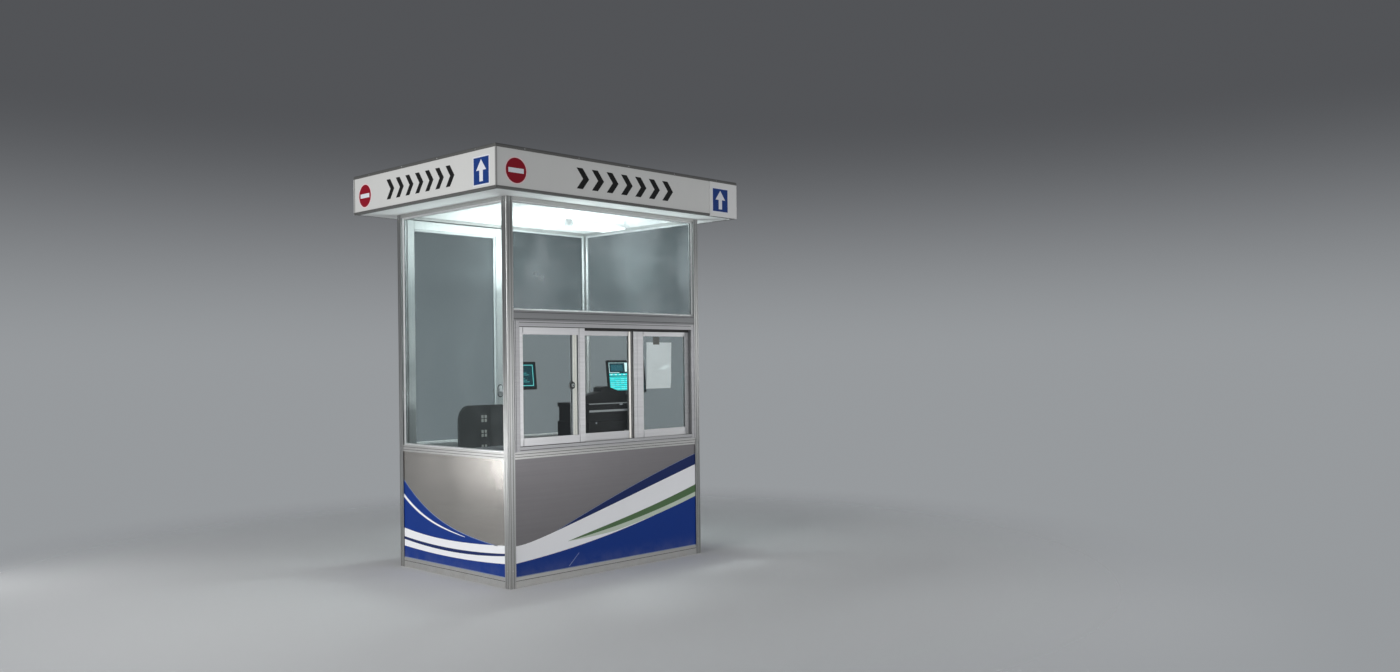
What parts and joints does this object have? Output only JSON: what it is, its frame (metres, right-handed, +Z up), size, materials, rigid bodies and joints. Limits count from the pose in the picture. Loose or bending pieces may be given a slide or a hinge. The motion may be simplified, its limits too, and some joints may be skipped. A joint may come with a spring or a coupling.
{
  "type": "security guard booth",
  "caption": "Small aluminium and glass guard booth with a sliding service window, a hinged door and a flat overhanging canopy.",
  "frame": {"origin": "on the ground under the middle of the canopy", "axes": "+Z up, the sliding window faces -Y, the short glazed side next to it faces -X, the door is in the side that faces +Y"},
  "size_m": [1.94, 1.49, 2.45],
  "materials": {
    "aluminium_bars": "satin anodised",
    "dark_aluminium": "dark satin",
    "window_aluminium": "satin anodised",
    "door_aluminium": "satin anodised",
    "bead_aluminium": "satin anodised",
    "front_panel": "brushed",
    "side_panel": "brushed",
    "floor_sheet": "matt ribbed",
    "clear_glass": "clear",
    "latch_chrome": "polished",
    "hinge_steel": "satin",
    "ceiling_white": "satin",
    "fascia_white": "satin",
    "roof_sheet": "matt",
    "lamp_housing": "satin",
    "lamp_globe": "opal",
    "counter_laminate": "dark grey laminate",
    "bracket_steel": "black satin",
    "black_plastic": "matt moulded",
    "chair_plastic": "matt moulded",
    "vinyl_blue": "satin film",
    "vinyl_white": "satin film",
    "vinyl_green": "satin film",
    "rubber_gasket": "matt",
    "paper_white": "matt",
    "sign_red": "satin film",
    "sign_black": "satin film",
    "lamp_diffuser": "opal",
    "screen_face": "glossy"
  },
  "bodies": {
    "booth": {"post_front_left": "aluminium_bars", "post_front_right": "aluminium_bars", "post_back_left": "aluminium_bars", "post_back_right": "aluminium_bars", "base_rails": "aluminium_bars", "floor_board": "floor_sheet", "panel_front": "front_panel", "panel_left": "side_panel", "panel_right": "side_panel", "panel_back": "side_panel", "sill_rails": "aluminium_bars", "front_transom": "dark_aluminium", "head_rails": "aluminium_bars", "window_frame": "window_aluminium", "sash_left": "window_aluminium", "sash_middle": "window_aluminium", "sash_right": "window_aluminium", "sash_glass": "clear_glass", "window_latch": "latch_chrome", "glass_front": "clear_glass", "glass_left": "clear_glass", "glass_right": "clear_glass", "glass_back": "clear_glass", "glazing_beads": "bead_aluminium", "door_jamb": "aluminium_bars", "hinges_post_side": "hinge_steel", "ceiling_board": "ceiling_white", "fascia_front": "fascia_white", "fascia_left": "fascia_white", "fascia_right": "fascia_white", "fascia_back": "fascia_white", "fascia_trims": "dark_aluminium", "roof_board": "roof_sheet", "ceiling_lamp": "lamp_housing", "globe_lamp": "lamp_globe", "counter": "counter_laminate", "counter_brackets": "bracket_steel", "screens": "black_plastic", "printer": "black_plastic", "chair_shell": "chair_plastic", "chair_legs": "bracket_steel"},
    "door": {"door_frame": "door_aluminium", "door_glass": "clear_glass", "door_beads": "bead_aluminium", "door_panel": "side_panel", "door_lock": "latch_chrome", "hinges_door_side": "hinge_steel"}
  },
  "joints": [
    {"name": "door_swing", "type": "hinge", "parent": "booth", "child": "door", "pos_m": [-0.7175, 0.5935, 1.125], "axis": [0, 0, 1], "range_deg": [0, 110]}
  ]
}
